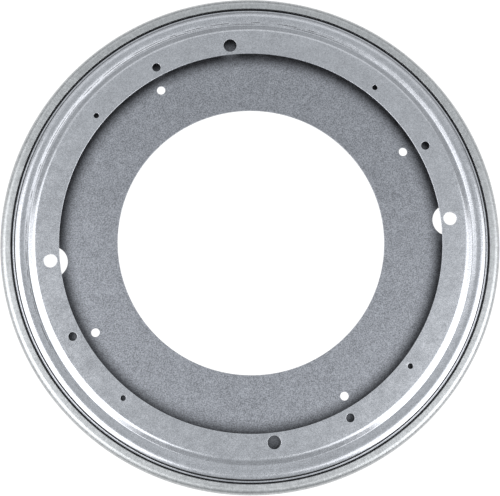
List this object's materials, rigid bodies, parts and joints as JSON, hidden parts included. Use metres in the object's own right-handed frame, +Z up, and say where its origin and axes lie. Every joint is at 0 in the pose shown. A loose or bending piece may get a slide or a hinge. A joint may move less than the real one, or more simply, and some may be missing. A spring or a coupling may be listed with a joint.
{
  "type": "lazy susan turntable bearing",
  "caption": "Flat ring-shaped ball-bearing turntable in galvanised sheet steel: a drilled top ring turns on a drilled base ring with an open centre.",
  "frame": {"origin": "centre of the bearing on the surface that the base ring stands on", "axes": "+Z up along the bearing's turning axis; +X through one of the two access holes, with a large flange hole over it at rest"},
  "size_m": [0.3048, 0.3048, 0.0079],
  "materials": {
    "galvanised_steel": "satin galvanised",
    "ball_steel": "polished",
    "retainer_plastic": "matte"
  },
  "bodies": {
    "base": {"base_ring": "galvanised_steel"},
    "top": {"top_ring": "galvanised_steel"},
    "ball_train": {"ball_retainer": "retainer_plastic", "ball_01": "ball_steel", "ball_02": "ball_steel", "ball_03": "ball_steel", "ball_04": "ball_steel", "ball_05": "ball_steel", "ball_06": "ball_steel", "ball_07": "ball_steel", "ball_08": "ball_steel", "ball_09": "ball_steel", "ball_10": "ball_steel", "ball_11": "ball_steel", "ball_12": "ball_steel", "ball_13": "ball_steel", "ball_14": "ball_steel", "ball_15": "ball_steel", "ball_16": "ball_steel", "ball_17": "ball_steel", "ball_18": "ball_steel", "ball_19": "ball_steel", "ball_20": "ball_steel", "ball_21": "ball_steel", "ball_22": "ball_steel", "ball_23": "ball_steel", "ball_24": "ball_steel", "ball_25": "ball_steel", "ball_26": "ball_steel", "ball_27": "ball_steel", "ball_28": "ball_steel", "ball_29": "ball_steel", "ball_30": "ball_steel", "ball_31": "ball_steel", "ball_32": "ball_steel", "ball_33": "ball_steel", "ball_34": "ball_steel", "ball_35": "ball_steel", "ball_36": "ball_steel"}
  },
  "joints": [
    {"name": "top_spin", "type": "hinge", "parent": "base", "child": "top", "pos_m": [0, 0, 0], "axis": [0, 0, 1], "continuous": true},
    {"name": "ball_orbit", "type": "hinge", "parent": "base", "child": "ball_train", "pos_m": [0, 0, 0], "axis": [0, 0, 1], "continuous": true}
  ],
  "couplings": [
    {"joint": "ball_orbit", "follows": "top_spin", "ratio": 0.5}
  ]
}
